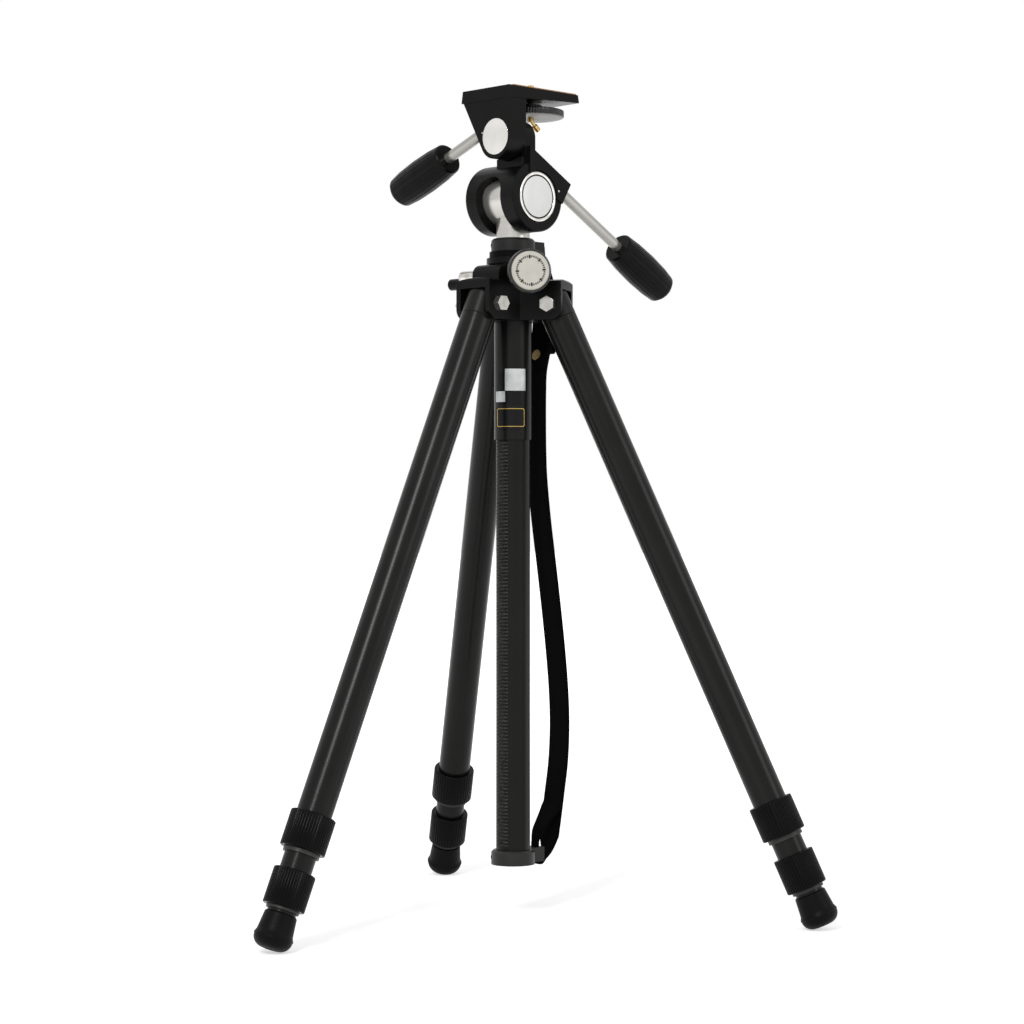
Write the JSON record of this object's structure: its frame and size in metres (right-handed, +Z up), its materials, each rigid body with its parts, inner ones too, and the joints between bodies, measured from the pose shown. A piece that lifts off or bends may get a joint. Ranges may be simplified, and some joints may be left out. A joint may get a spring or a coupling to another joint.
{
  "type": "photographic tripod",
  "caption": "Black tripod with three telescopic legs, geared centre column with crank, carrying strap and a three-way pan head with two handles.",
  "frame": {"origin": "on the floor, under the centre column's axis", "axes": "+Z up along the centre column, -Y towards the front, where a camera on the platform looks, +X to the right"},
  "size_m": [0.4808, 0.4433, 0.7044],
  "materials": {
    "black_paint": "satin",
    "dark_anodised": "satin",
    "black_rubber": "matte",
    "pale_steel": "satin",
    "blank_label": "satin",
    "brass": "satin",
    "knurled_rim": "satin",
    "pale_face": "satin",
    "polished_steel": "polished",
    "turned_aluminium": "polished",
    "strap_webbing": "matte",
    "cork": "matte",
    "knob_metal": "satin",
    "collar_plastic": "satin"
  },
  "bodies": {
    "stand": {"spider_casting": "black_paint", "guide_sleeve": "dark_anodised", "top_bush": "black_rubber", "hinge_bolts": "pale_steel", "label_plates": "blank_label", "pinion_bushes": "brass", "clamp_shoe": "pale_steel"},
    "lock_knob": {"lock_knob": "knurled_rim", "lock_knob_face": "pale_face", "lock_screw": "pale_steel"},
    "crank": {"pinion": "polished_steel", "crank_arm": "polished_steel"},
    "crank_grip": {"crank_grip": "black_rubber"},
    "column": {"column_tube": "dark_anodised", "column_top_collar": "dark_anodised", "column_bottom_cap": "dark_anodised", "collar_screws": "pale_steel", "carry_strap": "strap_webbing", "strap_rivet": "brass", "pan_spigot": "turned_aluminium"},
    "pan_stem": {"pan_stem": "turned_aluminium"},
    "tilt_housing": {"tilt_housing": "black_paint", "tilt_badge": "pale_face", "side_tilt_pin": "turned_aluminium", "handle_set_screw": "pale_steel"},
    "tilt_handle": {"tilt_handle_rod": "polished_steel", "tilt_handle_grip": "black_rubber"},
    "platform": {"platform": "black_paint", "cork_pad": "cork"},
    "side_handle": {"side_handle_rod": "polished_steel", "side_handle_grip": "black_rubber"},
    "camera_screw": {"camera_screw": "brass", "camera_screw_knob": "knob_metal"},
    "leg_front": {"leg_fitting_front": "dark_anodised", "upper_tube_front": "dark_anodised", "upper_collet_front": "collar_plastic"},
    "upper_collar_front": {"upper_collar_front": "collar_plastic"},
    "mid_leg_front": {"mid_tube_front": "dark_anodised", "lower_collet_front": "collar_plastic"},
    "lower_collar_front": {"lower_collar_front": "collar_plastic"},
    "lower_leg_front": {"lower_tube_front": "dark_anodised", "rubber_foot_front": "black_rubber"},
    "leg_right": {"leg_fitting_right": "dark_anodised", "upper_tube_right": "dark_anodised", "upper_collet_right": "collar_plastic"},
    "upper_collar_right": {"upper_collar_right": "collar_plastic"},
    "mid_leg_right": {"mid_tube_right": "dark_anodised", "lower_collet_right": "collar_plastic"},
    "lower_collar_right": {"lower_collar_right": "collar_plastic"},
    "lower_leg_right": {"lower_tube_right": "dark_anodised", "rubber_foot_right": "black_rubber"},
    "leg_left": {"leg_fitting_left": "dark_anodised", "upper_tube_left": "dark_anodised", "upper_collet_left": "collar_plastic"},
    "upper_collar_left": {"upper_collar_left": "collar_plastic"},
    "mid_leg_left": {"mid_tube_left": "dark_anodised", "lower_collet_left": "collar_plastic"},
    "lower_collar_left": {"lower_collar_left": "collar_plastic"},
    "lower_leg_left": {"lower_tube_left": "dark_anodised", "rubber_foot_left": "black_rubber"}
  },
  "joints": [
    {"name": "column_lift", "type": "slide", "parent": "stand", "child": "column", "axis": [0, 0, 1], "range_m": [0, 0.33]},
    {"name": "crank_turn", "type": "hinge", "parent": "stand", "child": "crank", "pos_m": [0, -0.01923, 0.54085], "axis": [1, 0, 0], "range_deg": [0, 3301]},
    {"name": "crank_grip_spin", "type": "hinge", "parent": "crank", "child": "crank_grip", "pos_m": [-0.06, 0.00062, 0.53841], "axis": [1, 0, 0], "continuous": true},
    {"name": "lock_knob_turn", "type": "hinge", "parent": "stand", "child": "lock_knob", "pos_m": [0.0433, -0.025, 0.54055], "axis": [0.866, -0.5, 0], "range_deg": [0, 180]},
    {"name": "pan", "type": "hinge", "parent": "column", "child": "pan_stem", "pos_m": [0, 0, 0.57225], "axis": [0, 0, 1], "continuous": true},
    {"name": "tilt", "type": "hinge", "parent": "pan_stem", "child": "tilt_housing", "pos_m": [0, 0, 0.60575], "axis": [1, 0, 0], "range_deg": [-30, 85]},
    {"name": "tilt_handle_twist", "type": "hinge", "parent": "tilt_housing", "child": "tilt_handle", "pos_m": [0.022, 0.06371, 0.59585], "axis": [0, 0.8634, -0.5045], "range_deg": [0, 120]},
    {"name": "side_tilt", "type": "hinge", "parent": "tilt_housing", "child": "platform", "pos_m": [0.01175, -0.0221, 0.65475], "axis": [0, 1, 0], "range_deg": [-20, 90]},
    {"name": "side_handle_twist", "type": "hinge", "parent": "platform", "child": "side_handle", "pos_m": [-0.04024, -0.0221, 0.65038], "axis": [-0.9311, 0, -0.3649], "range_deg": [0, 120]},
    {"name": "camera_screw_turn", "type": "hinge", "parent": "platform", "child": "camera_screw", "pos_m": [0, 0.021, 0.69645], "axis": [0, 0, 1], "continuous": true},
    {"name": "leg_fold_front", "type": "hinge", "parent": "stand", "child": "leg_front", "pos_m": [0, -0.0359, 0.51505], "axis": [1, 0, 0], "range_deg": [0, 23.3]},
    {"name": "upper_collar_twist_front", "type": "hinge", "parent": "leg_front", "child": "upper_collar_front", "pos_m": [0, -0.22503, 0.09025], "axis": [0, -0.4067, -0.9135], "range_deg": [0, 90]},
    {"name": "mid_leg_slide_front", "type": "slide", "parent": "leg_front", "child": "mid_leg_front", "axis": [0, -0.4067, -0.9135], "range_m": [0, 0.38]},
    {"name": "lower_collar_twist_front", "type": "hinge", "parent": "mid_leg_front", "child": "lower_collar_front", "pos_m": [0, -0.24415, 0.04731], "axis": [0, -0.4067, -0.9135], "range_deg": [0, 90]},
    {"name": "lower_leg_slide_front", "type": "slide", "parent": "mid_leg_front", "child": "lower_leg_front", "axis": [0, -0.4067, -0.9135], "range_m": [0, 0.38]},
    {"name": "leg_fold_right", "type": "hinge", "parent": "stand", "child": "leg_right", "pos_m": [0.03109, 0.01795, 0.51505], "axis": [-0.5, 0.866, 0], "range_deg": [0, 23.3]},
    {"name": "upper_collar_twist_right", "type": "hinge", "parent": "leg_right", "child": "upper_collar_right", "pos_m": [0.19488, 0.11252, 0.09025], "axis": [0.3522, 0.2034, -0.9135], "range_deg": [0, 90]},
    {"name": "mid_leg_slide_right", "type": "slide", "parent": "leg_right", "child": "mid_leg_right", "axis": [0.3522, 0.2034, -0.9135], "range_m": [0, 0.38]},
    {"name": "lower_collar_twist_right", "type": "hinge", "parent": "mid_leg_right", "child": "lower_collar_right", "pos_m": [0.21144, 0.12208, 0.04731], "axis": [0.3522, 0.2034, -0.9135], "range_deg": [0, 90]},
    {"name": "lower_leg_slide_right", "type": "slide", "parent": "mid_leg_right", "child": "lower_leg_right", "axis": [0.3522, 0.2034, -0.9135], "range_m": [0, 0.38]},
    {"name": "leg_fold_left", "type": "hinge", "parent": "stand", "child": "leg_left", "pos_m": [-0.03109, 0.01795, 0.51505], "axis": [-0.5, -0.866, 0], "range_deg": [0, 23.3]},
    {"name": "upper_collar_twist_left", "type": "hinge", "parent": "leg_left", "child": "upper_collar_left", "pos_m": [-0.19488, 0.11252, 0.09025], "axis": [-0.3522, 0.2034, -0.9135], "range_deg": [0, 90]},
    {"name": "mid_leg_slide_left", "type": "slide", "parent": "leg_left", "child": "mid_leg_left", "axis": [-0.3522, 0.2034, -0.9135], "range_m": [0, 0.38]},
    {"name": "lower_collar_twist_left", "type": "hinge", "parent": "mid_leg_left", "child": "lower_collar_left", "pos_m": [-0.21144, 0.12208, 0.04731], "axis": [-0.3522, 0.2034, -0.9135], "range_deg": [0, 90]},
    {"name": "lower_leg_slide_left", "type": "slide", "parent": "mid_leg_left", "child": "lower_leg_left", "axis": [-0.3522, 0.2034, -0.9135], "range_m": [0, 0.38]}
  ],
  "couplings": [
    {"joint": "crank_turn", "follows": "column_lift", "rad_per_m": 174.53}
  ]
}
